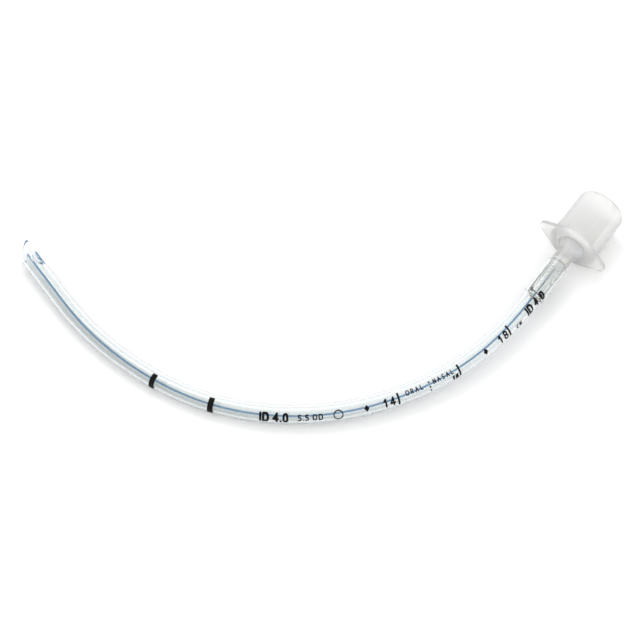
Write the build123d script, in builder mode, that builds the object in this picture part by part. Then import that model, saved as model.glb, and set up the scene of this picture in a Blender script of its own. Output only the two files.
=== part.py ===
from build123d import *
import os
from math import asin, atan2, cos, degrees, radians, sin

# Plain, uncuffed tracheal tube of 4.0 mm bore with its 15 mm connector.
# All lengths are millimetres and all angles are degrees.
# The tube is curved in one plane. While it is made that plane is XY, the connector's axis is X with
# its open end towards +X, and the origin is the middle of the connector's flange on the tube's side.
# The last section lays the finished pieces down as they come to rest on a flat surface.
os.makedirs("parts", exist_ok=True)

# Tube wall
bore_diameter = 4.0
outer_diameter = 5.5
bore_radius = bore_diameter / 2
tube_radius = outer_diameter / 2
wall = tube_radius - bore_radius

# Connector: cone, flange, hub, neck and spigot
cone_base_diameter = 15.45
cone_taper = 1 / 40
cone_length = 16.0
cone_wall = 1.3
mouth_chamfer = 0.35
socket_floor_height = 1.4
socket_draft = 0.1
funnel_length = 4.0
flange_thickness = 1.2
flange_radius = 7.8
wing_reach = 11.9
wing_radius = 2.2
wing_turn = -17.5
flange_edge = 0.3
face_tolerance = 0.01
hub_length = 2.4
hub_diameter = 9.0
neck_length = 5.8
neck_diameter = 5.7
spigot_length = 13.2
spigot_diameter = 5.2
spigot_nose = 0.4
spigot_nose_length = 0.8
airway_diameter = 3.6

# Course of the tube from the connector to the patient's end: each bend's radius and turn
lead_in = 0.6
bends = [(117.5, 7.5), (82.5, 36.0), (74.0, 44.2), (104.0, 24.8)]
patient_run = 24.3
stretch_taper = 1.4

# Bevel and side eye at the patient's end, both turned about the tube from the plane of its curve
bevel_angle = 43.0
bevel_turn = 105.0
eye_length = 6.6
eye_width = 3.4
eye_station = 7.9
eye_turn = -45.0
cutting_overrun = 1.0

# Radiopaque line in the wall
line_turn = 200.0
line_width = 0.75
line_depth = 0.35

# Print, as a film on the wall: stations are distances from the patient's tip
ink = 0.05
print_turn = 56.0
band_stations = (66.1, 85.1)
band_width = 1.7
band_arc = 120.0
band_turn = 58.0
bar_width = 0.6
bar_length = 3.8
bar_turn = 50.0
size_text = "ID 4.0"
size_stations = (103.7, 192.6)
size_text_height = 3.0
size_text_length = 8.6
bold_stroke = 0.68
outer_text = "5.5 OD"
outer_station = 114.1
outer_text_height = 1.95
outer_text_length = 7.4
fine_stroke = 0.38
digit_stroke = 0.54
route_words = {"ORAL": 145.2, "NASAL": 154.7}
route_turn = 33.0
route_height = 1.6
route_letter_pitch = 1.5
route_stroke = 0.3
dot_station = 150.0
dot_turns = (24.0, 54.0, 79.0)
dot_diameter = 0.6

# Depth marks: each bar's station, then its digits' turn, lead before the bar, height and length
scale_marks = {
    "14": (140.0, 52.0, 2.8, 2.8, 3.8),
    "16": (160.0, 80.0, 1.7, 1.8, 2.3),
    "18": (180.0, 54.0, 2.7, 2.8, 3.8),
}
ring_station = 122.1
ring_diameter = 3.0
ring_stroke = 0.34
diamond_stations = (130.4, 170.0)
diamond_length = 1.6
diamond_height = 2.2
diamond_turn = 50.0
unit_text = "CM"
unit_station = 184.1
unit_turn = 75.0
unit_height = 1.5
unit_length = 2.4

# Lengths along the connector's axis, away from its flange
tube_end = hub_length + neck_length
spigot_end = tube_end + spigot_length
stretch_end = spigot_end + stretch_taper

# The wall keeps its section's area where it is stretched over the spigot
spigot_radius = spigot_diameter / 2
stretched_radius = (spigot_radius**2 + tube_radius**2 - bore_radius**2) ** 0.5
stretched_wall = stretched_radius - spigot_radius

# Centre line of the tube, with an overrun at the tip that the bevel cuts away
with BuildLine() as course:
    run = Line((-stretch_end, 0), (-stretch_end - lead_in, 0))
    for bend_radius, bend_turn in bends:
        run = JernArc(run @ 1, run % 1, bend_radius, -bend_turn)
    Line(run @ 1, run @ 1 + (run % 1) * (patient_run + cutting_overrun))
course_wire = course.wires()[0]
tip_distance = course_wire.length - cutting_overrun


def section_plane(station, turn, radius=tube_radius):
    """Plane on the wall at a distance from the tip, facing outwards, with x towards the connector.

    A turn of 0 is the upper side of the curve's plane and a turn of 90 is the outside of the bend.
    """
    along = tip_distance - station
    if along >= 0:
        centre = course_wire.position_at(along, PositionMode.LENGTH)
        heading = course_wire.tangent_at(along, PositionMode.LENGTH) * -1
    else:
        centre = Vector(-stretch_end - along, 0, 0)
        heading = Vector(1, 0, 0)
    outward = Vector(0, 0, 1).rotate(Axis((0, 0, 0), heading), turn)
    return Plane(origin=centre + outward * radius, x_dir=heading, z_dir=outward)


# Section plane where the curved tube meets its stretched end: y is up, x the outside of the bend
tube_start = Plane(origin=(-stretch_end, 0, 0), x_dir=(0, -1, 0), z_dir=(-1, 0, 0))

# Half the angle that the radiopaque line covers, seen from the tube's centre
line_half_angle = degrees(line_width / 2 / tube_radius)


def line_wedge(mode):
    """Sector of the section that holds the radiopaque line."""
    reach = 2 * tube_radius
    first = radians(90 - line_turn - line_half_angle)
    last = radians(90 - line_turn + line_half_angle)
    corners = [(0, 0), (reach * cos(first), reach * sin(first)), (reach * cos(last), reach * sin(last))]
    Polygon(*corners, align=None, mode=mode)


def bevel_plane():
    """Plane of the slanted patient's end, through the long point of the tip."""
    facing = section_plane(0, bevel_turn)
    slant = facing.x_dir * -sin(radians(bevel_angle)) + facing.z_dir * cos(radians(bevel_angle))
    return Plane(origin=facing.origin - facing.z_dir * outer_diameter, z_dir=slant)


# Section of the radiopaque line
with BuildSketch(tube_start) as line_section:
    Circle(tube_radius)
    Circle(tube_radius - line_depth, mode=Mode.SUBTRACT)
    line_wedge(Mode.INTERSECT)

# The line's own plane through the connector's axis, for the stretched end
line_start = Plane.XY.rotated((line_turn + 90 + line_half_angle, 0, 0))
stretched_depth = line_depth * stretched_wall / wall

# Tube: drawn wall with a groove for the line, stretched end, bevel and side eye
with BuildPart() as tube:
    with BuildSketch(tube_start):
        Circle(tube_radius)
        Circle(bore_radius, mode=Mode.SUBTRACT)
        add(line_section.sketch_local, mode=Mode.SUBTRACT)
    sweep(path=course_wire)
    with BuildSketch(Plane.XY):
        with BuildLine():
            Polyline(
                (-stretch_end, bore_radius),
                (-stretch_end, tube_radius),
                (-spigot_end, stretched_radius),
                (-tube_end, stretched_radius),
                (-tube_end, spigot_radius),
                (-spigot_end, spigot_radius),
                close=True,
            )
        make_face()
    revolve(axis=Axis.X)
    with BuildSketch(line_start):
        with BuildLine():
            Polyline(
                (-stretch_end, tube_radius - line_depth),
                (-spigot_end, stretched_radius - stretched_depth),
                (-tube_end, stretched_radius - stretched_depth),
                (-tube_end, 2 * stretched_radius),
                (-stretch_end, 2 * stretched_radius),
                close=True,
            )
        make_face()
    revolve(axis=Axis.X, revolution_arc=-2 * line_half_angle, mode=Mode.SUBTRACT)
    split(bisect_by=bevel_plane(), keep=Keep.BOTTOM)
    with BuildSketch(section_plane(eye_station, eye_turn)):
        Ellipse(eye_length / 2, eye_width / 2)
    extrude(amount=-tube_radius, mode=Mode.SUBTRACT)
tube.part.label = "tube"

# Radiopaque line, flush with the wall from the bevel to the tube's end on the neck
with BuildPart() as radiopaque_line:
    with BuildSketch(tube_start):
        add(line_section.sketch_local)
    sweep(path=course_wire)
    with BuildSketch(line_start):
        with BuildLine():
            Polyline(
                (-stretch_end, tube_radius - line_depth),
                (-spigot_end, stretched_radius - stretched_depth),
                (-tube_end, stretched_radius - stretched_depth),
                (-tube_end, stretched_radius),
                (-spigot_end, stretched_radius),
                (-stretch_end, tube_radius),
                close=True,
            )
        make_face()
    revolve(axis=Axis.X, revolution_arc=-2 * line_half_angle)
    split(bisect_by=bevel_plane(), keep=Keep.BOTTOM)
radiopaque_line.part.label = "radiopaque_line"

# Lengths and radii of the connector
cone_base_radius = cone_base_diameter / 2
cone_end = flange_thickness + cone_length
cone_end_radius = cone_base_radius - cone_length * cone_taper / 2
mouth_radius = cone_end_radius - cone_wall
socket_floor = flange_thickness + socket_floor_height
airway_radius = airway_diameter / 2
wing_offset = wing_reach - wing_radius

# Connector: one moulding with its airway right through
with BuildPart() as connector:
    with BuildSketch(Plane.XY):
        with BuildLine():
            Polyline(
                (-spigot_end, airway_radius),
                (-spigot_end, spigot_radius - spigot_nose),
                (-spigot_end + spigot_nose_length, spigot_radius),
                (-tube_end, spigot_radius),
                (-tube_end, neck_diameter / 2),
                (-hub_length, neck_diameter / 2),
                (0, hub_diameter / 2),
                (0, cone_base_radius),
                (flange_thickness, cone_base_radius),
                (cone_end - mouth_chamfer, cone_end_radius),
                (cone_end, cone_end_radius - mouth_chamfer),
                (cone_end, mouth_radius),
                (socket_floor, mouth_radius - socket_draft),
                (socket_floor - funnel_length, airway_radius),
                close=True,
            )
        make_face()
    revolve(axis=Axis.X)
    with BuildSketch(Plane(origin=(0, 0, 0), x_dir=(0, 1, 0), z_dir=(1, 0, 0))):
        Circle(flange_radius)
        with PolarLocations(wing_offset, 2, start_angle=-wing_turn):
            Circle(wing_radius)
        make_hull()
        Circle(cone_base_radius, mode=Mode.SUBTRACT)
    extrude(amount=flange_thickness)
    tube_side = connector.edges().filter_by_position(Axis.X, -face_tolerance, face_tolerance)
    fillet(tube_side.filter_by(lambda edge: edge.center().length > hub_diameter), flange_edge)
connector.part.label = "connector"

# Film of print all round the wall, cut into marks below
with BuildPart() as film:
    with BuildSketch(tube_start):
        Circle(tube_radius + ink)
        Circle(tube_radius, mode=Mode.SUBTRACT)
    sweep(path=course_wire)
    with BuildSketch(Plane.XY):
        with BuildLine():
            Polyline(
                (-stretch_end, tube_radius),
                (-spigot_end, stretched_radius),
                (-tube_end, stretched_radius),
                (-tube_end, stretched_radius + ink),
                (-spigot_end, stretched_radius + ink),
                (-stretch_end, tube_radius + ink),
                close=True,
            )
        make_face()
    revolve(axis=Axis.X)

# Letters by their strokes, on a cap height of 1: each stroke is its corners' rounding, then its points
bowl = 0.24
arc_point = 1 - 0.5**0.5
letters = {
    "I": [(0, [(0, 0), (0, 1)])],
    "D": [(0, [(0, 0), (0, 1)]), (bowl, [(0, 0), (0.6, 0), (0.6, 1), (0, 1)])],
    "O": [(bowl, [(0, 0), (0.66, 0), (0.66, 1), (0, 1), (0, 0)])],
    "R": [
        (0, [(0, 0), (0, 1)]),
        (bowl, [(0, 1), (0.48, 1), (0.48, 0.48), (0, 0.48)]),
        (0, [(0.22, 0.48), (0.48, 0)]),
    ],
    "A": [(0, [(0, 0), (0.3, 1), (0.6, 0)]), (0, [(0.12, 0.34), (0.48, 0.34)])],
    "L": [(0, [(0, 1), (0, 0), (0.42, 0)])],
    "N": [(0, [(0, 0), (0, 1), (0.5, 0), (0.5, 1)])],
    "S": [(0.22, [(0.46, 1), (0, 1), (0, 0.52), (0.46, 0.52), (0.46, 0), (0, 0)])],
    "C": [(bowl, [(0.48, 1), (0, 1), (0, 0), (0.48, 0)])],
    "M": [(0, [(0, 0), (0, 1), (0.32, 0.3), (0.64, 1), (0.64, 0)])],
    "0": [(0.22, [(0, 0), (0.46, 0), (0.46, 1), (0, 1), (0, 0)])],
    "1": [(0, [(0, 0.76), (0.24, 1), (0.24, 0)])],
    "4": [(0, [(0.4, 0), (0.4, 1), (0, 0.3), (0.56, 0.3)])],
    "5": [
        (0, [(0.46, 1), (0.04, 1), (0.04, 0.58)]),
        (bowl, [(0.04, 0.58), (0.48, 0.58), (0.48, 0), (0, 0)]),
    ],
    "6": [
        (0.2, [(0.44, 1), (0, 1), (0, 0.3)]),
        (bowl, [(0, 0), (0.5, 0), (0.5, 0.58), (0, 0.58), (0, 0)]),
    ],
    "8": [
        (0.2, [(0, 0), (0.5, 0), (0.5, 0.52), (0, 0.52), (0, 0)]),
        (0.2, [(0.03, 0.52), (0.47, 0.52), (0.47, 1), (0.03, 1), (0.03, 0.52)]),
    ],
    ".": [],
    " ": [],
}


def letter_width(letter):
    """Width of a letter on a cap height of 1."""
    return max((x for _, points in letters[letter] for x, _ in points), default=0)


def softened(rounding, points):
    """Points of a stroke with each of its corners rounded by one point on the corner's arc."""
    if rounding == 0:
        return points
    closed = points[0] == points[-1]
    corners = [Vector(*point) for point in (points[:-1] if closed else points)]
    soft = [] if closed else [corners[0]]
    for index in range(0 if closed else 1, len(corners) if closed else len(corners) - 1):
        corner = corners[index]
        back = (corners[index - 1] - corner).normalized() * rounding
        ahead = (corners[(index + 1) % len(corners)] - corner).normalized() * rounding
        soft += [corner + back, corner + (back + ahead) * arc_point, corner + ahead]
    soft.append(soft[0] if closed else corners[-1])
    return [(point.X, point.Y) for point in soft]


def stroke(points, thickness):
    """One stroke of even thickness and round ends, as the faces of its runs."""
    runs = []
    for (x, y), (next_x, next_y) in zip(points, points[1:]):
        run_x, run_y = next_x - x, next_y - y
        distance = (run_x**2 + run_y**2) ** 0.5
        with Locations((x + run_x / 2, y + run_y / 2)):
            slant = degrees(atan2(run_y, run_x))
            runs += SlotCenterToCenter(distance, thickness, rotation=slant, mode=Mode.PRIVATE).faces()
    return runs


def write(text, height, length, thickness):
    """Draw a line of letters centred in the current sketch, spaced out to the given length."""
    cap = height - thickness
    letters_width = cap * sum(letter_width(letter) for letter in text)
    gap = (length - thickness - letters_width) / max(len(text) - 1, 1)
    start = (thickness - length) / 2 if len(text) > 1 else -letters_width / 2
    strokes = []
    for letter in text:
        for rounding, points in letters[letter]:
            soft = softened(rounding, points)
            strokes += stroke([(start + x * cap, (y - 0.5) * cap) for x, y in soft], thickness)
        if letter == ".":
            with Locations((start, -cap / 2)):
                strokes += Circle(thickness / 2, mode=Mode.PRIVATE).faces()
        start += letter_width(letter) * cap + gap
    add(strokes)


def half_chord(length):
    """Half the straight width of a mark that covers this length round the tube."""
    return (tube_radius + ink) * sin(length / 2 / tube_radius)


def mark_depth(length):
    """How deep a mark of this length round the tube is pressed to reach the film at its ends."""
    return (tube_radius + ink) * (1 - cos(length / 2 / tube_radius)) + wall


# Depth bands
with BuildPart() as depth_bands:
    for station in band_stations:
        band_length = radians(band_arc) * tube_radius
        with BuildSketch(section_plane(station, band_turn, tube_radius + ink)):
            Rectangle(band_width, 2 * half_chord(band_length))
        extrude(amount=-mark_depth(band_length))
    add(film.part, mode=Mode.INTERSECT)
depth_bands.part.label = "depth_bands"

# Size print, once each side of the depth marks
with BuildPart() as size_print:
    for station in size_stations:
        with BuildSketch(section_plane(station, print_turn, stretched_radius + ink)):
            write(size_text, size_text_height, size_text_length, bold_stroke)
        extrude(amount=tube_radius - stretched_radius - mark_depth(size_text_height))
    add(film.part, mode=Mode.INTERSECT)
size_print.part.label = "size_print"

# Outer diameter print
with BuildPart() as outer_diameter_print:
    with BuildSketch(section_plane(outer_station, print_turn, tube_radius + ink)):
        write(outer_text, outer_text_height, outer_text_length, fine_stroke)
    extrude(amount=-mark_depth(outer_text_height))
    add(film.part, mode=Mode.INTERSECT)
outer_diameter_print.part.label = "outer_diameter_print"

# Ring and diamonds between the prints
with BuildPart() as ring_print:
    with BuildSketch(section_plane(ring_station, print_turn, tube_radius + ink)):
        Circle(ring_diameter / 2)
        Circle(ring_diameter / 2 - ring_stroke, mode=Mode.SUBTRACT)
    extrude(amount=-mark_depth(ring_diameter))
    add(film.part, mode=Mode.INTERSECT)
ring_print.part.label = "ring_print"

with BuildPart() as diamond_prints:
    half_length, half_height = diamond_length / 2, diamond_height / 2
    for station in diamond_stations:
        with BuildSketch(section_plane(station, diamond_turn, tube_radius + ink)):
            Polygon((-half_length, 0), (0, -half_height), (half_length, 0), (0, half_height), align=None)
        extrude(amount=-mark_depth(diamond_height))
    add(film.part, mode=Mode.INTERSECT)
diamond_prints.part.label = "diamond_prints"

# Depth marks: a number of centimetres, then its bar across the tube at that distance from the tip
depth_marks = []
for number, (station, digits_turn, lead, digit_height, digit_length) in scale_marks.items():
    with BuildPart() as depth_mark:
        with BuildSketch(section_plane(station, bar_turn, tube_radius + ink)):
            Rectangle(bar_width, 2 * half_chord(bar_length))
        extrude(amount=-mark_depth(bar_length))
        with BuildSketch(section_plane(station - lead, digits_turn, tube_radius + ink)):
            write(number, digit_height, digit_length, digit_stroke)
        extrude(amount=-mark_depth(digit_height))
        add(film.part, mode=Mode.INTERSECT)
    depth_mark.part.label = f"depth_mark_{number}"
    depth_marks.append(depth_mark)

# Words for the two routes, letter by letter round the bend, and the dots between them
with BuildPart() as route_print:
    for word, station in route_words.items():
        for index, letter in enumerate(word):
            letter_station = station + (index - (len(word) - 1) / 2) * route_letter_pitch
            with BuildSketch(section_plane(letter_station, route_turn, tube_radius + ink)):
                write(letter, route_height, letter_width(letter) * route_height, route_stroke)
            extrude(amount=-mark_depth(route_height))
    for turn in dot_turns:
        with BuildSketch(section_plane(dot_station, turn, tube_radius + ink)):
            Circle(dot_diameter / 2)
        extrude(amount=-mark_depth(dot_diameter))
    add(film.part, mode=Mode.INTERSECT)
route_print.part.label = "route_print"

# Unit of the depth marks
with BuildPart() as unit_print:
    with BuildSketch(section_plane(unit_station, unit_turn, tube_radius + ink)):
        write(unit_text, unit_height, unit_length, fine_stroke)
    extrude(amount=-mark_depth(unit_height))
    add(film.part, mode=Mode.INTERSECT)
unit_print.part.label = "unit_print"

# Lay the pieces down: the flange's rim and the outside of the bend carry them, so the connector's
# open end rises a little, and the origin is the middle of the whole, on the surface
pieces = [tube, radiopaque_line, connector, depth_bands, size_print, outer_diameter_print]
pieces += [ring_print, diamond_prints, *depth_marks, route_print, unit_print]
reach = -course_wire.bounding_box().min.X
pitch = degrees(asin((flange_radius - tube_radius) / reach))
tilt = Location((0, 0, 0), (0, -pitch, 0))
for piece in pieces:
    piece.part.locate(tilt)
box = Compound([piece.part for piece in pieces]).bounding_box()
lay = Location((-box.center().X, -box.center().Y, -box.min.Z)) * tilt
for piece in pieces:
    piece.part.locate(lay)
    export_step(piece.part, f"parts/{piece.part.label}.step")
print(f"connector pitched up by {pitch:.2f} degrees, flange centre at {lay.position}")
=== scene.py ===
"""Uncuffed tracheal tube of clear PVC with its 15 mm connector, lying on a pale floor.

The CAD solids give the sizes and the place. The tube, the line in its wall and the connector are
replaced by smooth meshes of the same sizes, and the print keeps its own solids and gets its ink.
Sizes in the classes are millimetres, in the connector's own frame: its axis is X, its open end
looks to +X, and the tube curves in the XY plane. The finished meshes are then laid down.
"""

import logging
from collections.abc import Callable, Iterable
from dataclasses import dataclass, field
from enum import Enum
from math import asin, atan2, cos, degrees, pi, radians, sin, tan
from typing import Any

import bmesh
import bpy
from mathutils import Matrix, Vector

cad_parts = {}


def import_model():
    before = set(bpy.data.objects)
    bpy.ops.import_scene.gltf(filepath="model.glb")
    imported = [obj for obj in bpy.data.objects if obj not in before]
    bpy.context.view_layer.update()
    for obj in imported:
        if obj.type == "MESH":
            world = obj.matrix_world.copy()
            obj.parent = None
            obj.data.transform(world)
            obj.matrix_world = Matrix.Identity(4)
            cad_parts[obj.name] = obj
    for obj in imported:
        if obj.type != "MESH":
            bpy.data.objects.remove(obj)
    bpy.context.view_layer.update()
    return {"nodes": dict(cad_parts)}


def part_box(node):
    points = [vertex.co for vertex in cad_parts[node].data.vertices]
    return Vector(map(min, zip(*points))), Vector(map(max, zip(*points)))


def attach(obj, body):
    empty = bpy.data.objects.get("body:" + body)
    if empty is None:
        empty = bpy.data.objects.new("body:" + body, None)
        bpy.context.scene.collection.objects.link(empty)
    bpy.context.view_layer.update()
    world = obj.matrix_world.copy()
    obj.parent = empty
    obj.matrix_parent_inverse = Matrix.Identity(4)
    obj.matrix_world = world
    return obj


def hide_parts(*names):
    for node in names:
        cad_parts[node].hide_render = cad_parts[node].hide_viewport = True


log = logging.getLogger("tracheal_tube")

MM = 0.001

# Sizes that several pieces share, in mm. The ends are distances behind the flange's tube side.
TUBE_RADIUS = 2.75
STRETCHED_RADIUS = 3.2129
SPIGOT_RADIUS = 2.6
TUBE_END = 8.2
SPIGOT_END = 21.4
FLANGE_RADIUS = 7.8


class Region(Enum):
    """Parts of the tube's course, from the connector to the patient's end."""

    STRETCHED = "stretched over the spigot"
    BENT = "bent"
    STRAIGHT = "straight patient's end"


class Operation(Enum):
    """Ways to combine two closed meshes."""

    JOIN = "UNION"
    CUT = "DIFFERENCE"


# Mesh helpers


def deselect_all() -> None:
    """Leave edit mode and deselect every object."""
    if bpy.context.object and bpy.context.object.mode != "OBJECT":
        bpy.ops.object.mode_set(mode="OBJECT")
    bpy.ops.object.select_all(action="DESELECT")


def make_active(obj: bpy.types.Object) -> None:
    """Select one object alone and make it the active one.

    Args:
        obj: the object to work on.
    """
    deselect_all()
    obj.select_set(True)
    bpy.context.view_layer.objects.active = obj


def apply_place(obj: bpy.types.Object) -> None:
    """Move an object's place, turn and scale into its mesh.

    Args:
        obj: the object, which ends at the origin.
    """
    make_active(obj)
    bpy.ops.object.transform_apply(location=True, rotation=True, scale=True)


def edit_mesh(obj: bpy.types.Object) -> bmesh.types.BMesh:
    """Open an object in edit mode with nothing selected.

    Args:
        obj: the object to edit.

    Returns:
        The mesh as it is edited.
    """
    make_active(obj)
    bpy.ops.object.mode_set(mode="EDIT")
    bpy.ops.mesh.select_mode(type="EDGE")
    bpy.ops.mesh.select_all(action="DESELECT")
    return bmesh.from_edit_mesh(obj.data)


def select_edges(obj: bpy.types.Object, test: Callable[[bmesh.types.BMEdge], bool]) -> int:
    """Select the edges that pass a test, in edit mode.

    Args:
        obj: the object in edit mode.
        test: says of an edge whether it is wanted.

    Returns:
        How many edges are selected.
    """
    bpy.ops.mesh.select_all(action="DESELECT")
    mesh = bmesh.from_edit_mesh(obj.data)
    chosen = [edge for edge in mesh.edges if test(edge)]
    for edge in chosen:
        edge.select_set(True)
    bmesh.update_edit_mesh(obj.data)
    return len(chosen)


def add_ring(name: str, x: float, radius: float, sides: int) -> bpy.types.Object:
    """Add an open ring round the X axis and leave it selected in edit mode.

    Args:
        name: the new object's name.
        x: the ring's place on the axis, in mm.
        radius: the ring's radius, in mm.
        sides: how many edges the ring has.

    Returns:
        The new object, in edit mode.
    """
    deselect_all()
    bpy.ops.mesh.primitive_circle_add(
        vertices=sides, radius=radius * MM, location=(x * MM, 0, 0), rotation=(0, pi / 2, 0)
    )
    ring = bpy.context.object
    ring.name = ring.data.name = name
    apply_place(ring)
    bpy.ops.object.mode_set(mode="EDIT")
    bpy.ops.mesh.select_mode(type="EDGE")
    bpy.ops.mesh.select_all(action="SELECT")
    return ring


def draw_on(x: float, next_x: float, growth: float = 1.0) -> None:
    """Extrude the selected ring along the X axis and scale it there.

    Args:
        x: the ring's place on the axis, in mm.
        next_x: the new ring's place on the axis, in mm.
        growth: the new ring's radius over the old one's.
    """
    bpy.ops.mesh.extrude_region_move(TRANSFORM_OT_translate={"value": ((next_x - x) * MM, 0, 0)})
    if growth != 1.0:
        bpy.ops.transform.resize(value=(1, growth, growth), center_override=(next_x * MM, 0, 0))


def draw_through(x: float, radius: float, places: Iterable[tuple[float, float]]) -> None:
    """Extrude the selected ring from place to place along the X axis.

    Args:
        x: the ring's place on the axis, in mm.
        radius: the ring's radius, in mm.
        places: the next rings as (place on the axis, radius), in mm.
    """
    for next_x, next_radius in places:
        draw_on(x, next_x, next_radius / radius)
        x, radius = next_x, next_radius


def turn_profile(name: str, profile: list[tuple[float, float]], sides: int) -> bpy.types.Object:
    """Draw a closed profile round the X axis, ring by ring, into a closed shell.

    Args:
        name: the new object's name.
        profile: the profile's points as (place on the axis, radius), in mm.
        sides: how many edges each ring has.

    Returns:
        The new object, with its normals outwards.
    """
    (x, radius), *rest = profile
    shell = add_ring(name, x, radius, sides)
    draw_through(x, radius, rest + profile[:1])
    bpy.ops.mesh.select_all(action="SELECT")
    bpy.ops.mesh.remove_doubles(threshold=0.002 * MM)
    bpy.ops.mesh.normals_make_consistent(inside=False)
    bpy.ops.object.mode_set(mode="OBJECT")
    return shell


def rounded(points: list[tuple[float, float, float]], steps: int = 4) -> list[tuple[float, float]]:
    """Round the corners of a closed profile.

    Args:
        points: the corners as (x, radius, rounding), in mm.
        steps: how many runs each rounding is drawn with.

    Returns:
        The profile's points, rounded by quadratic curves that meet its sides.
    """
    profile = []
    for index, (x, y, rounding) in enumerate(points):
        corner = Vector((x, y))
        if rounding == 0:
            profile.append((x, y))
            continue
        back = (Vector(points[index - 1][:2]) - corner).normalized() * rounding
        ahead = (Vector(points[(index + 1) % len(points)][:2]) - corner).normalized() * rounding
        for step in range(steps + 1):
            t = step / steps
            point = corner + back * (1 - t) ** 2 + ahead * t**2
            profile.append((point.x, point.y))
    return profile


def combine(piece: bpy.types.Object, tool: bpy.types.Object, operation: Operation) -> None:
    """Join or cut one closed mesh with another, which is then removed.

    Args:
        piece: the mesh that stays.
        tool: the mesh that is joined or taken away.
        operation: what is done with it.
    """
    make_active(piece)
    modifier = piece.modifiers.new("boolean", "BOOLEAN")
    modifier.operation = operation.value
    modifier.solver = "EXACT"
    modifier.object = tool
    bpy.ops.object.modifier_apply(modifier=modifier.name)
    bpy.data.objects.remove(tool, do_unlink=True)


def smooth(piece: bpy.types.Object, angle: float = 35.0) -> None:
    """Shade a piece smooth across its gentle edges.

    Args:
        piece: the piece to shade.
        angle: edges sharper than this stay sharp, in degrees.
    """
    make_active(piece)
    bpy.ops.object.shade_smooth_by_angle(angle=radians(angle))


# Materials


def linear(code: str) -> tuple[float, float, float, float]:
    """Turn an sRGB hex colour to linear light.

    Args:
        code: the colour as six hex digits.

    Returns:
        The linear colour with an alpha of 1.
    """
    parts = [int(code[place : place + 2], 16) / 255 for place in (0, 2, 4)]
    red, green, blue = (p / 12.92 if p <= 0.04045 else ((p + 0.055) / 1.055) ** 2.4 for p in parts)
    return (red, green, blue, 1.0)


def wire(tree: bpy.types.NodeTree, node: bpy.types.Node, *values: Any, **inputs: Any) -> None:
    """Set or link a node's inputs.

    Args:
        tree: the node tree that holds the node.
        node: the node.
        values: values or output sockets for its first inputs, in order.
        inputs: values or output sockets for its inputs, by name with _ for a space.
    """
    named = {name.replace("_", " "): value for name, value in inputs.items()}
    for key, value in [*enumerate(values), *named.items()]:
        socket = node.inputs[key]
        if isinstance(value, bpy.types.NodeSocket):
            tree.links.new(value, socket)
        else:
            socket.default_value = value


def add_node(
    tree: bpy.types.NodeTree, kind: str, settings: dict[str, Any], *values: Any, **inputs: Any
) -> bpy.types.Node:
    """Add one node with its settings, values and links.

    Args:
        tree: the node tree that gets it.
        kind: the node's type.
        settings: its properties by name.
        values: values or output sockets for its first inputs, in order.
        inputs: values or output sockets for its inputs, by name with _ for a space.

    Returns:
        The new node.
    """
    node = tree.nodes.new(kind)
    for name, value in settings.items():
        setattr(node, name, value)
    wire(tree, node, *values, **inputs)
    return node


def grain(tree: bpy.types.NodeTree, period: float, detail: float = 2.0) -> bpy.types.NodeSocket:
    """Add noise on object coordinates.

    Args:
        tree: the material's node tree.
        period: the size of one blotch, in mm.
        detail: how many finer octaves it has.

    Returns:
        The noise value, from 0 to 1.
    """
    place = add_node(tree, "ShaderNodeTexCoord", {}).outputs["Object"]
    # Object coordinates are metres, so a blotch of a period in mm is a scale of 1000 / period.
    noise = add_node(tree, "ShaderNodeTexNoise", {}, Vector=place, Scale=1000 / period, Detail=detail)
    return noise.outputs["Fac"]


def streaks(tree: bpy.types.NodeTree, period: float, stretch: float, detail: float) -> bpy.types.NodeSocket:
    """Add noise that is drawn out along the wall.

    Args:
        tree: the material's node tree.
        period: the distance between two streaks round the wall, in mm.
        stretch: how many times longer than wide a streak is.
        detail: how many finer octaves it has.

    Returns:
        The noise value, from 0 to 1.
    """
    # The mesh's own attribute holds turn x, turn y and station in mm, so the scale is 1 / period.
    course = add_node(tree, "ShaderNodeAttribute", {"attribute_name": "draw"}).outputs["Vector"]
    drawn = add_node(tree, "ShaderNodeMapping", {}, Vector=course, Scale=(1.0, 1.0, 1 / stretch))
    noise = add_node(
        tree, "ShaderNodeTexNoise", {}, Vector=drawn.outputs["Vector"], Scale=1 / period, Detail=detail
    )
    return noise.outputs["Fac"]


def spread(
    tree: bpy.types.NodeTree, value: bpy.types.NodeSocket, low: float, high: float
) -> bpy.types.NodeSocket:
    """Map a noise value's middle part to a range.

    Args:
        tree: the material's node tree.
        value: the noise value.
        low: the result where the noise is low.
        high: the result where the noise is high.

    Returns:
        The mapped value.
    """
    limits = {"From_Min": 0.3, "From_Max": 0.7, "To_Min": low, "To_Max": high}
    return add_node(tree, "ShaderNodeMapRange", {}, Value=value, **limits).outputs["Result"]


def blend(tree: bpy.types.NodeTree, value: bpy.types.NodeSocket, low: str, high: str) -> bpy.types.NodeSocket:
    """Blend two colours by a noise value's middle part.

    Args:
        tree: the material's node tree.
        value: the noise value.
        low: the sRGB colour where the noise is low.
        high: the sRGB colour where the noise is high.

    Returns:
        The blended colour.
    """
    mix = add_node(tree, "ShaderNodeMix", {"data_type": "RGBA"}, Factor=spread(tree, value, 0.0, 1.0))
    colours = [socket for socket in mix.inputs if socket.type == "RGBA"]
    for socket, code in zip(colours, (low, high)):
        socket.default_value = linear(code)
    return next(socket for socket in mix.outputs if socket.type == "RGBA")


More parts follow.
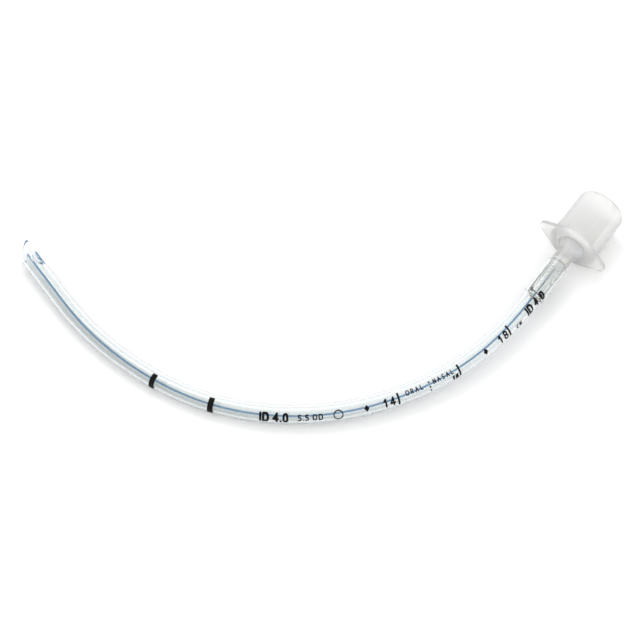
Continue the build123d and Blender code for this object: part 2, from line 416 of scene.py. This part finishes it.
@dataclass(frozen=True)
class Finish:
    """A material made of one Principled shader, with its colour, gloss and relief.

    Attributes:
        name: the real material's name.
        colour: its sRGB colour.
        ior: its index of refraction.
    """

    name: str
    colour: str
    ior: float = 1.5

    def blank(self) -> tuple[bpy.types.Material, bpy.types.NodeTree, bpy.types.Node]:
        """Start the material.

        Returns:
            The material, its node tree and its Principled shader.
        """
        material = bpy.data.materials.new(self.name)
        material.use_nodes = True
        tree = material.node_tree
        shader = next(node for node in tree.nodes if node.type == "BSDF_PRINCIPLED")
        wire(tree, shader, Base_Color=linear(self.colour), IOR=self.ior)
        return material, tree, shader


@dataclass(frozen=True)
class ClearPVC(Finish):
    """Clear plasticised PVC, extruded: water clear, glossy, with faint draw lines along the wall."""

    name: str = "clear_plasticised_pvc"
    colour: str = "F8FBFB"
    ior: float = 1.53
    draw_period: float = 0.55
    draw_stretch: float = 40.0
    haze_period: float = 9.0

    def make(self) -> bpy.types.Material:
        """Make the material.

        Returns:
            The material.
        """
        material, tree, shader = self.blank()
        lines = streaks(tree, self.draw_period, self.draw_stretch, 1.0)
        relief = add_node(tree, "ShaderNodeBump", {}, Height=lines, Strength=0.005, Distance=0.01 * MM)
        haze = spread(tree, grain(tree, self.haze_period), 0.0, 0.03)
        wire(tree, shader, Transmission_Weight=1.0, Normal=relief.outputs["Normal"], Roughness=haze)
        return material


@dataclass(frozen=True)
class MilkyPolypropylene(Finish):
    """Natural polypropylene, moulded: milky, half clear, with a soft sheen and faint flow marks."""

    name: str = "natural_polypropylene"
    colour: str = "FEFEFC"
    ior: float = 1.49
    clearness: float = 0.6
    spigot_clearness: float = 0.985
    scatter: float = 2.5
    flow_period: float = 3.5
    skin_period: float = 0.35

    def make(self) -> bpy.types.Material:
        """Make the material.

        Returns:
            The material.
        """
        material, tree, shader = self.blank()
        # The thin spigot, wetted by the tube round it, is almost clear and smooth, and the cone is milky.
        milk = add_node(tree, "ShaderNodeAttribute", {"attribute_name": "milk"}).outputs["Fac"]
        limits = {"To_Min": self.spigot_clearness, "To_Max": self.clearness}
        clear = add_node(tree, "ShaderNodeMapRange", {}, Value=milk, **limits)
        share = add_node(tree, "ShaderNodeMapRange", {}, Value=milk, To_Min=0.1).outputs["Result"]
        wire(
            tree,
            shader,
            Transmission_Weight=clear.outputs["Result"],
            Subsurface_Weight=1.0,
            Subsurface_Radius=(1.0, 0.95, 0.85),
            Subsurface_Scale=self.scatter * MM,
        )
        times = {"operation": "MULTIPLY"}
        flow = spread(tree, grain(tree, self.flow_period, 3.0), 0.09, 0.15)
        dullness = add_node(tree, "ShaderNodeMath", times, flow, share)
        # The moulded skin's orange peel is about 0.35 mm from crest to crest.
        skin = grain(tree, self.skin_period)
        peel = add_node(tree, "ShaderNodeMath", times, share, 0.08).outputs["Value"]
        relief = add_node(tree, "ShaderNodeBump", {}, Height=skin, Strength=peel, Distance=0.01 * MM)
        wire(tree, shader, Roughness=dullness.outputs["Value"], Normal=relief.outputs["Normal"])
        return material


@dataclass(frozen=True)
class Ink(Finish):
    """Print on soft PVC: a thin film with a dull gloss, a little uneven where the pad lifted."""

    name: str = "black_pad_ink"
    colour: str = "020202"
    worn: str = "0D0D0F"
    ior: float = 1.48
    mottle_period: float = 0.5

    def make(self) -> bpy.types.Material:
        """Make the material.

        Returns:
            The material.
        """
        material, tree, shader = self.blank()
        # Mottle of about 0.5 mm, the size of the lifts that a pad leaves in a film this thin.
        mottle = grain(tree, self.mottle_period, 3.0)
        relief = add_node(tree, "ShaderNodeBump", {}, Height=mottle, Strength=0.1, Distance=0.01 * MM)
        wire(
            tree,
            shader,
            Specular_IOR_Level=0.12,
            Base_Color=blend(tree, mottle, self.colour, self.worn),
            Roughness=spread(tree, mottle, 0.28, 0.45),
            Normal=relief.outputs["Normal"],
        )
        return material


@dataclass(frozen=True)
class FilledPVC(Finish):
    """Blue PVC loaded with barium sulphate, co-extruded in the wall: opaque, even, satin."""

    name: str = "blue_barium_filled_pvc"
    colour: str = "52ACEC"
    pale: str = "82C6F4"
    ior: float = 1.54
    streak_period: float = 0.3
    streak_stretch: float = 20.0

    def make(self) -> bpy.types.Material:
        """Make the material.

        Returns:
            The material.
        """
        material, tree, shader = self.blank()
        filler = streaks(tree, self.streak_period, self.streak_stretch, 2.0)
        colour = blend(tree, filler, self.colour, self.pale)
        wire(tree, shader, Base_Color=colour, Roughness=spread(tree, filler, 0.4, 0.5))
        return material


# The tube's course


@dataclass(frozen=True)
class Bend:
    """One bend of the course, clockwise seen from above.

    Attributes:
        radius: of the centre line, in mm.
        turn: in degrees.
    """

    radius: float
    turn: float


@dataclass
class Course:
    """Centre line of the tube, from the stretched end's foot to the tip.

    Attributes:
        stretch_end: where the curved tube starts, behind the flange, in mm.
        lead_in: straight run before the first bend, in mm.
        bends: the bends in order.
        patient_run: straight run to the tip, in mm.
        ring_pitch: distance between the rings of a mesh drawn along it, in mm.
        angle_slack: how far a point may lie outside a bend's angle, in radians.
    """

    stretch_end: float = 22.8
    lead_in: float = 0.6
    bends: tuple[Bend, ...] = (Bend(117.5, 7.5), Bend(82.5, 36.0), Bend(74.0, 44.2), Bend(104.0, 24.8))
    patient_run: float = 24.3
    ring_pitch: float = 0.8
    angle_slack: float = 1e-6

    def __post_init__(self) -> None:
        """Work out where each bend starts, its centre and the length before it."""
        place = Vector((-self.stretch_end - self.lead_in, 0))
        heading = Vector((-1, 0))
        self.legs: list[tuple[Vector, Vector, Bend, float]] = []
        self.length = self.lead_in
        for bend in self.bends:
            centre = place + Vector((heading.y, -heading.x)) * bend.radius
            self.legs.append((centre, place, bend, self.length))
            turn = Matrix.Rotation(-radians(bend.turn), 2)
            place = centre + turn @ (place - centre)
            heading = turn @ heading
            self.length += bend.radius * radians(bend.turn)
        self.run_start, self.run_heading = place, heading
        self.length += self.patient_run

    @property
    def reach(self) -> float:
        """How far the centre line goes behind the flange, in mm."""
        heading = Vector((-1, 0))
        for centre, _, bend, _ in self.legs:
            turned = Matrix.Rotation(-radians(bend.turn), 2) @ heading
            if turned.x > 0:
                return bend.radius - centre.x
            heading = turned
        return -self.run_start.x

    def taper(self, seated: float, free: float, steps: int = 6) -> list[tuple[float, float]]:
        """Ease a radius down from the spigot's end to the free tube.

        Args:
            seated: the radius over the spigot, in mm.
            free: the radius beyond it, in mm.
            steps: how many rings the taper has.

        Returns:
            The rings as (place on the axis, radius), in mm.
        """
        rings = []
        for step in range(1, steps + 1):
            t = step / steps
            eased = t * t * (3 - 2 * t)
            place = -SPIGOT_END - (self.stretch_end - SPIGOT_END) * t
            rings.append((place, seated + (free - seated) * eased))
        return rings

    def drive(self) -> None:
        """Extrude and spin the selected ring from the stretched end's foot to the tip."""
        draw_on(-self.stretch_end, -self.stretch_end - self.lead_in)
        for centre, _, bend, _ in self.legs:
            steps = round(bend.radius * radians(bend.turn) / self.ring_pitch)
            hub = (centre.x * MM, centre.y * MM, 0)
            bpy.ops.mesh.spin(steps=steps, angle=radians(bend.turn), center=hub, axis=(0, 0, 1))
        steps = round(2 * self.patient_run / self.ring_pitch)
        step = self.run_heading * (self.patient_run * MM / steps)
        for _ in range(steps):
            bpy.ops.mesh.extrude_region_move(TRANSFORM_OT_translate={"value": (step.x, step.y, 0)})

    def find(self, point: Vector) -> tuple[Region, float, float]:
        """Find where a point of the wall lies on the course.

        Args:
            point: the point, in mm.

        Returns:
            Its region, its station from the tip and its distance to the outside of the bend, in mm.
        """
        flat = Vector((point.x, point.y))
        if flat.x > -self.stretch_end - self.lead_in and flat.y < self.legs[0][0].y / 2:
            return Region.STRETCHED, self.length + self.stretch_end + flat.x, -flat.y
        for centre, start, bend, before in self.legs:
            arm, spoke = start - centre, flat - centre
            turned = atan2(arm.y * spoke.x - arm.x * spoke.y, arm.dot(spoke))
            if -self.angle_slack <= turned <= radians(bend.turn) + self.angle_slack:
                return Region.BENT, self.length - before - bend.radius * turned, spoke.length - bend.radius
        offset = flat - self.run_start
        along = offset.dot(self.run_heading)
        outside = offset.dot(Vector((-self.run_heading.y, self.run_heading.x)))
        return Region.STRAIGHT, self.patient_run - along, outside


@dataclass(frozen=True)
class Tip:
    """The slanted patient's end, through the long point of the tip.

    Attributes:
        angle: between the cut and the tube's axis, in degrees.
        turn: of the side that the cut faces, about the tube, in degrees.
        radius: of the tube, in mm.
    """

    angle: float = 43.0
    turn: float = 105.0
    radius: float = TUBE_RADIUS

    def cut_station(self, up: float, outside: float) -> float:
        """Station where the cut meets a line along the tube.

        Args:
            up: the line's height above the axis, in mm.
            outside: its distance to the outside of the bend, in mm.

        Returns:
            The station, in mm from the long point.
        """
        facing = up * cos(radians(self.turn)) + outside * sin(radians(self.turn))
        return (self.radius + facing) / tan(radians(self.angle))

    def slant(self, obj: bpy.types.Object, course: Course, short: float = 0.0) -> None:
        """Slant the rings of the straight end so that the last one lies in the cut.

        Args:
            obj: the mesh, drawn along the course.
            course: the course that it was drawn along.
            short: how far before the cut it stops, in mm.
        """
        for vertex in obj.data.vertices:
            region, station, outside = course.find(vertex.co / MM)
            if region is not Region.STRAIGHT or station > course.patient_run:
                continue
            done = 1 - station / course.patient_run
            back = (self.cut_station(vertex.co.z / MM, outside) + short) * done * MM
            vertex.co -= Vector((course.run_heading.x, course.run_heading.y, 0)) * back


def mark_course(obj: bpy.types.Object, course: Course) -> None:
    """Store each point's turn and station as an attribute that patterns along the wall read.

    Args:
        obj: the mesh, before it is laid down.
        course: the course that it was drawn along.
    """
    values = []
    for vertex in obj.data.vertices:
        _, station, outside = course.find(vertex.co / MM)
        values += (outside, vertex.co.z / MM, station)
    attribute = obj.data.attributes.new("draw", "FLOAT_VECTOR", "POINT")
    attribute.data.foreach_set("vector", values)


# Sub-assemblies


@dataclass
class TubeWall:
    """The clear tube: stretched over the spigot, curved, slanted at the tip, with a side eye."""

    course: Course
    tip: Tip = field(default_factory=Tip)
    bore_radius: float = 2.0
    seat_gap: float = 0.015
    seat_steps: int = 12
    eye_length: float = 6.6
    eye_width: float = 3.4
    eye_station: float = 7.9
    eye_turn: float = -45.0
    eye_reach: float = 1.0
    edge_rounding: float = 0.12
    sides: int = 120

    def shell(self, name: str, seated: float, free: float) -> bpy.types.Object:
        """Draw one surface of the wall along the course.

        Args:
            name: the new object's name.
            seated: its radius over the spigot, in mm.
            free: its radius beyond the spigot, in mm.

        Returns:
            The open surface.
        """
        x = -TUBE_END
        surface = add_ring(name, x, seated, self.sides)
        pitch = (TUBE_END - SPIGOT_END) / self.seat_steps
        seat = [(x + pitch * step, seated) for step in range(1, self.seat_steps + 1)]
        draw_through(x, seated, seat + self.course.taper(seated, free))
        self.course.drive()
        bpy.ops.object.mode_set(mode="OBJECT")
        return surface

    def close_ends(self, wall: bpy.types.Object, first_inner: int) -> None:
        """Close both ends between the outer and the inner surface, and round their edges.

        Args:
            wall: the two open surfaces, drawn in the same order.
            first_inner: the index of the inner surface's first point.
        """
        mesh = edit_mesh(wall)
        mesh.verts.ensure_lookup_table()
        rims = []
        for edge in [edge for edge in mesh.edges if edge.is_boundary and edge.verts[0].index < first_inner]:
            loop = edge.link_loops[0]
            here, there = loop.link_loop_next.vert.index, loop.vert.index
            corners = (here, there, there + first_inner, here + first_inner)
            face = mesh.faces.new([mesh.verts[corner] for corner in corners])
            rims += [face.edges[0], face.edges[2]]
        for edge in rims:
            edge.select_set(True)
        bmesh.update_edit_mesh(wall.data)
        bpy.ops.mesh.bevel(offset=self.edge_rounding * MM, segments=3, profile=0.5, clamp_overlap=True)
        bpy.ops.mesh.select_all(action="SELECT")
        bpy.ops.mesh.normals_make_consistent(inside=False)
        bpy.ops.object.mode_set(mode="OBJECT")

    def eye_cutter(self) -> bpy.types.Object:
        """Make the oval plug that cuts the side eye through one wall.

        Returns:
            The plug, in place.
        """
        heading = -self.course.run_heading
        outside = Vector((heading.y, -heading.x))
        before_eye = self.course.patient_run - self.eye_station
        centre = self.course.run_start + self.course.run_heading * before_eye
        turn = radians(self.eye_turn)
        outward = Vector((outside.x * sin(turn), outside.y * sin(turn), cos(turn)))
        along = Vector((heading.x, heading.y, 0))
        across = outward.cross(along)
        deselect_all()
        bpy.ops.mesh.primitive_cylinder_add(vertices=72, radius=1, depth=1)
        plug = bpy.context.object
        depth = TUBE_RADIUS + self.eye_reach
        middle = Vector((centre.x, centre.y, 0)) + outward * (depth / 2)
        columns = (along * (self.eye_length / 2), across * (self.eye_width / 2), outward * depth)
        place = Matrix([column * MM for column in columns]).transposed().to_4x4()
        place.translation = middle * MM
        plug.data.transform(place)
        return plug

    def build(self) -> bpy.types.Object:
        """Build the wall as one closed mesh.

        Returns:
            The tube, before it is laid down.
        """
        outer = self.shell("tube_wall", STRETCHED_RADIUS, TUBE_RADIUS)
        inner = self.shell("tube_bore", SPIGOT_RADIUS + self.seat_gap, self.bore_radius)
        first_inner = len(outer.data.vertices)
        edit_mesh(inner)
        bpy.ops.mesh.select_all(action="SELECT")
        bpy.ops.mesh.flip_normals()
        make_active(outer)
        inner.select_set(True)
        bpy.ops.object.join()
        self.tip.slant(outer, self.course)
        self.close_ends(outer, first_inner)
        combine(outer, self.eye_cutter(), Operation.CUT)
        mark_course(outer, self.course)
        return outer


@dataclass
class WallLine:
    """The radiopaque line: a blue strip inside the wall, just under its outer surface."""

    course: Course
    tip: Tip = field(default_factory=Tip)
    turn: float = 200.0
    width: float = 0.75
    depth: float = 0.26
    cover: float = 0.03
    end_cover: float = 0.05
    cuts: int = 3

    def build(self) -> bpy.types.Object:
        """Build the strip along the whole wall.

        Returns:
            The strip, before it is laid down.
        """
        deselect_all()
        bpy.ops.mesh.primitive_plane_add(size=1)
        strip = bpy.context.object
        strip.name = strip.data.name = "radiopaque_line_strip"
        edit_mesh(strip)
        select_edges(strip, lambda edge: abs(edge.verts[0].co.y - edge.verts[1].co.y) < 0.5)
        bpy.ops.mesh.subdivide(number_cuts=self.cuts)
        bpy.ops.object.mode_set(mode="OBJECT")
        outer = STRETCHED_RADIUS - self.cover
        x = -TUBE_END - self.end_cover
        for vertex in strip.data.vertices:
            angle = radians(self.turn) + vertex.co.x * self.width / TUBE_RADIUS
            radius = outer - (0.5 - vertex.co.y) * self.depth
            vertex.co = Vector((x, -radius * sin(angle), radius * cos(angle))) * MM
        make_active(strip)
        bpy.ops.object.mode_set(mode="EDIT")
        bpy.ops.mesh.select_mode(type="FACE")
        bpy.ops.mesh.select_all(action="SELECT")
        taper = self.course.taper(outer, TUBE_RADIUS - self.cover)
        draw_through(x, outer, [(-SPIGOT_END, outer), *taper])
        self.course.drive()
        bpy.ops.mesh.select_all(action="SELECT")
        bpy.ops.mesh.normals_make_consistent(inside=False)
        bpy.ops.object.mode_set(mode="OBJECT")
        self.tip.slant(strip, self.course, self.end_cover)
        mark_course(strip, self.course)
        return strip


@dataclass
class Connector:
    """The 15 mm male connector: cone, winged flange, hub, neck and spigot in one moulding."""

    cone_base_radius: float = 7.725
    cone_end: float = 17.2
    cone_end_radius: float = 7.525
    mouth_radius: float = 6.225
    socket_floor: float = 2.6
    socket_floor_radius: float = 6.125
    funnel_end: float = -1.4
    airway_radius: float = 1.8
    flange_thickness: float = 1.2
    flange_rounding: float = 0.3
    wing_offset: float = 9.7
    wing_radius: float = 2.2
    wing_turn: float = 17.5
    hub_length: float = 2.4
    hub_radius: float = 4.5
    neck_radius: float = 2.85
    nose_length: float = 0.8
    nose_drop: float = 0.4
    sunk: float = 0.45
    overlap: float = 0.2
    root_chamfer: float = 0.6
    root_end: float = 0.8
    sides: int = 192

    def moulding(self) -> bpy.types.Object:
        """Turn the round part of the connector.

        Returns:
            The closed shell, open right through its airway.
        """
        # Corners as (x, radius, rounding). The hub and the cone start inside the flange, so that the
        # two meshes cross well clear of each other's faces.
        corners = [
            (-SPIGOT_END, self.airway_radius, 0.12),
            (-SPIGOT_END, SPIGOT_RADIUS - self.nose_drop, 0.12),
            (-SPIGOT_END + self.nose_length, SPIGOT_RADIUS, 0.3),
            (-TUBE_END, SPIGOT_RADIUS, 0.1),
            (-TUBE_END, self.neck_radius, 0.12),
            (-self.hub_length - self.overlap, self.neck_radius, 0.7),
            (self.sunk, self.hub_radius + self.overlap, 0),
            (self.sunk, self.cone_base_radius - self.root_chamfer, 0),
            (self.root_end, self.cone_base_radius, 0),
            (self.cone_end, self.cone_end_radius, 0.4),
            (self.cone_end, self.mouth_radius, 0.3),
            (self.socket_floor, self.socket_floor_radius, 0.6),
            (self.funnel_end, self.airway_radius, 0.8),
        ]
        return turn_profile("connector_moulding", rounded(corners), self.sides)

    def flange(self) -> bpy.types.Object:
        """Make the flange: the hull of a disc and two small discs at its wings' ends.

        Returns:
            The flange, with its rim rounded.
        """
        slant = radians(self.wing_turn)
        spots = [(0.0, 0.0, FLANGE_RADIUS)]
        for offset in (-self.wing_offset, self.wing_offset):
            spots.append((offset * cos(slant), offset * sin(slant), self.wing_radius))
        discs = []
        for y, z, radius in spots:
            deselect_all()
            bpy.ops.mesh.primitive_cylinder_add(
                vertices=self.sides,
                radius=radius * MM,
                depth=self.flange_thickness * MM,
                location=(self.flange_thickness / 2 * MM, y * MM, z * MM),
                rotation=(0, pi / 2, 0),
            )
            discs.append(bpy.context.object)
        make_active(discs[0])
        for disc in discs[1:]:
            disc.select_set(True)
        bpy.ops.object.join()
        flange = bpy.context.object
        flange.name = flange.data.name = "connector_flange"
        apply_place(flange)
        edit_mesh(flange)
        bpy.ops.mesh.select_all(action="SELECT")
        bpy.ops.mesh.convex_hull()
        bpy.ops.mesh.select_all(action="SELECT")
        bpy.ops.mesh.dissolve_limited(angle_limit=radians(0.5))
        bpy.ops.mesh.select_all(action="DESELECT")
        bpy.ops.mesh.edges_select_sharp(sharpness=radians(60))
        bpy.ops.mesh.bevel(offset=self.flange_rounding * MM, segments=4, profile=0.5)
        bpy.ops.object.mode_set(mode="OBJECT")
        return flange

    def build(self) -> bpy.types.Object:
        """Build the connector as one closed mesh.

        Returns:
            The connector, before it is laid down.
        """
        body = self.moulding()
        combine(body, self.flange(), Operation.JOIN)
        self.mark_milk(body)
        return body

    def mark_milk(self, body: bpy.types.Object) -> None:
        """Store how milky each point looks: not at all on the spigot, fully on the flange and the cone.

        Args:
            body: the connector, before it is laid down.
        """
        neck = TUBE_END - self.hub_length
        along = [(vertex.co.x / MM + TUBE_END) / neck for vertex in body.data.vertices]
        attribute = body.data.attributes.new("milk", "FLOAT", "POINT")
        attribute.data.foreach_set("value", [min(max(share, 0.0), 1.0) for share in along])


@dataclass(frozen=True)
class Lay:
    """How the part lies: on the flange's rim and the outside of the bend.

    Attributes:
        course: the tube's course.
    """

    course: Course

    def matrix(self) -> Matrix:
        """Work out where the connector's frame lies, from the CAD solids.

        Returns:
            The move from the connector's frame to the part's frame, in metres.
        """
        reach = self.course.reach
        pitch = asin((FLANGE_RADIUS - TUBE_RADIUS) / reach)
        tube_low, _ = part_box("tube")
        low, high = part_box("connector")
        ahead = (TUBE_RADIUS + reach * cos(pitch)) * MM
        place = Vector((tube_low[0] + ahead, (low[1] + high[1]) / 2, FLANGE_RADIUS * MM))
        log.info("pitch %.3f degrees, flange centre %s", degrees(pitch), [round(c / MM, 3) for c in place])
        return Matrix.Translation(place) @ Matrix.Rotation(-pitch, 4, "Y")

    def down(self, obj: bpy.types.Object) -> None:
        """Lay a finished mesh down.

        Args:
            obj: the mesh, in the connector's frame.
        """
        obj.data.transform(self.matrix())
        obj.data.update()


@dataclass
class Print:
    """The print on the wall, by the finish of its ink."""

    black: tuple[str, ...] = (
        "depth_bands",
        "size_print",
        "outer_diameter_print",
        "ring_print",
        "diamond_prints",
        "depth_mark_14",
        "depth_mark_16",
        "depth_mark_18",
        "unit_print",
    )
    grey: tuple[str, ...] = ("route_print",)

    def dress(self, nodes: dict[str, bpy.types.Object]) -> None:
        """Give each print its ink.

        Args:
            nodes: the CAD nodes by name.
        """
        black = Ink().make()
        grey = Ink(name="grey_pad_ink", colour="1A1718", worn="383335").make()
        for names, ink in ((self.black, black), (self.grey, grey)):
            for name in names:
                for place in nodes[name].material_slots:
                    place.material = ink
                log.info("%s: %s", name, ink.name)


@dataclass
class Studio:
    """Pale floor, soft light and the camera.

    Attributes:
        target: the point on the floor that the camera looks at, in mm.
        azimuth: the camera's heading in plan, from +X, in degrees.
        elevation: how far it looks down, in degrees.
        distance: from the camera to the target, in mm.
        lens: focal length on a 36 mm sensor.
        sky: strength of the sky overhead.
        horizon: brightness of the sky at the horizon, against overhead.
        front: brightness of the room behind the camera, against overhead.
        back: brightness of the room behind the part, against overhead.
        key: power of the soft light, in W.
        bounces: how often light may be sent on in all.
        inner_bounces: how often it may be reflected or refracted in clear walls.
    """

    target: tuple[float, float] = (-14.07, -13.23)
    azimuth: float = 34.21
    elevation: float = 52.9
    distance: float = 1000.0
    lens: float = 187.7
    sky: float = 1.06
    horizon: float = 0.9
    front: float = 1.3
    back: float = 0.85
    key: float = 2.6
    bounces: int = 32
    inner_bounces: int = 24

    def heading(self) -> Vector:
        """Direction of the camera's view in plan."""
        return Vector((cos(radians(self.azimuth)), sin(radians(self.azimuth)), 0))

    def floor(self) -> None:
        """Add the pale floor."""
        deselect_all()
        bpy.ops.mesh.primitive_plane_add(size=8)
        plane = bpy.context.object
        plane.name = "floor"
        material, tree, shader = Finish("matt_white_laminate", "FCFCFC").blank()
        dullness = spread(tree, grain(tree, 40.0), 0.85, 0.92)
        wire(tree, shader, Roughness=dullness, Specular_IOR_Level=0.1)
        plane.data.materials.append(material)

    def softbox(self, turn: float, height: float, away: float, size: float, power: float) -> None:
        """Add a square soft light that faces the part.

        Args:
            turn: its direction in plan from the camera's heading, in degrees.
            height: its angle above the floor, in degrees.
            away: its distance, in m.
            size: its side, in m.
            power: in W.
        """
        lamp = bpy.data.lights.new("back_softbox", "AREA")
        lamp.shape, lamp.size, lamp.energy = "SQUARE", size, power
        obj = bpy.data.objects.new("back_softbox", lamp)
        bpy.context.scene.collection.objects.link(obj)
        plan = self.heading()
        plan.rotate(Matrix.Rotation(radians(turn), 3, "Z"))
        direction = plan * cos(radians(height)) + Vector((0, 0, sin(radians(height))))
        obj.location = direction * away
        obj.rotation_euler = direction.to_track_quat("Z", "Y").to_euler()

    def light(self) -> None:
        """Light the part: a soft sky and one large soft light from behind and above."""
        world = bpy.data.worlds.new("soft_sky")
        world.use_nodes = True
        tree = world.node_tree
        sky = add_node(tree, "ShaderNodeTexCoord", {}).outputs["Generated"]
        height = add_node(tree, "ShaderNodeSeparateXYZ", {}, Vector=sky).outputs["Z"]
        ramp = add_node(tree, "ShaderNodeValToRGB", {}, Fac=height)
        low, high = ramp.color_ramp.elements
        low.position, low.color = 0.05, (self.horizon, self.horizon, self.horizon, 1.0)
        high.position, high.color = 0.9, (1.0, 1.0, 1.0, 1.0)
        # The room behind the part is dimmer than the one behind the camera.
        ahead = add_node(tree, "ShaderNodeVectorMath", {"operation": "DOT_PRODUCT"}, sky, self.heading())
        limits = {"From_Min": -1.0, "To_Min": self.front, "To_Max": self.back}
        room = add_node(tree, "ShaderNodeMapRange", {}, Value=ahead.outputs["Value"], **limits)
        scaled = {"Vector": ramp.outputs["Color"], "Scale": room.outputs["Result"]}
        level = add_node(tree, "ShaderNodeVectorMath", {"operation": "SCALE"}, **scaled)
        wire(tree, tree.nodes["Background"], Color=level.outputs["Vector"], Strength=self.sky)
        bpy.context.scene.world = world
        self.softbox(turn=15, height=62, away=1.5, size=0.5, power=self.key)

    def camera(self) -> None:
        """Add the camera at the photograph's angle."""
        camera = bpy.data.cameras.new("portrait")
        camera.lens, camera.sensor_width = self.lens, 36.0
        camera.clip_end = 20
        obj = bpy.data.objects.new("portrait", camera)
        bpy.context.scene.collection.objects.link(obj)
        slope = radians(self.elevation)
        view = self.heading() * cos(slope) - Vector((0, 0, sin(slope)))
        obj.location = Vector((self.target[0], self.target[1], 0)) * MM - view * self.distance * MM
        obj.rotation_euler = view.to_track_quat("-Z", "Y").to_euler()
        bpy.context.scene.camera = obj

    def build(self) -> None:
        """Set the whole studio up."""
        self.floor()
        self.light()
        self.camera()
        bpy.context.scene.view_settings.view_transform = "Standard"
        # Light is reflected many times inside the clear wall before it leaves.
        cycles = bpy.context.scene.cycles
        cycles.max_bounces = self.bounces
        cycles.glossy_bounces = cycles.transmission_bounces = self.inner_bounces


def add_piece(obj: bpy.types.Object, node: str, material: bpy.types.Material) -> None:
    """Hand a finished piece to the frame in place of its CAD node.

    Args:
        obj: the piece, laid down.
        node: the CAD node that it replaces.
        material: its finish.
    """
    obj.data.materials.clear()
    obj.data.materials.append(material)
    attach(obj, "root")
    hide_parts(node)
    log.info("%s: %d faces, %s", obj.name, len(obj.data.polygons), material.name)


def main() -> None:
    """Load the frame, build the pieces in order, and set the studio up."""
    logging.basicConfig(level=logging.INFO, format="%(name)s: %(message)s")
    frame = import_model()
    course = Course()
    lay = Lay(course)

    tube = TubeWall(course).build()
    smooth(tube)
    lay.down(tube)
    add_piece(tube, "tube", ClearPVC().make())

    line = WallLine(course).build()
    smooth(line)
    lay.down(line)
    add_piece(line, "radiopaque_line", FilledPVC().make())

    connector = Connector().build()
    smooth(connector)
    lay.down(connector)
    add_piece(connector, "connector", MilkyPolypropylene().make())

    Print().dress(frame["nodes"])
    Studio().build()


if __name__ == "__main__":
    main()
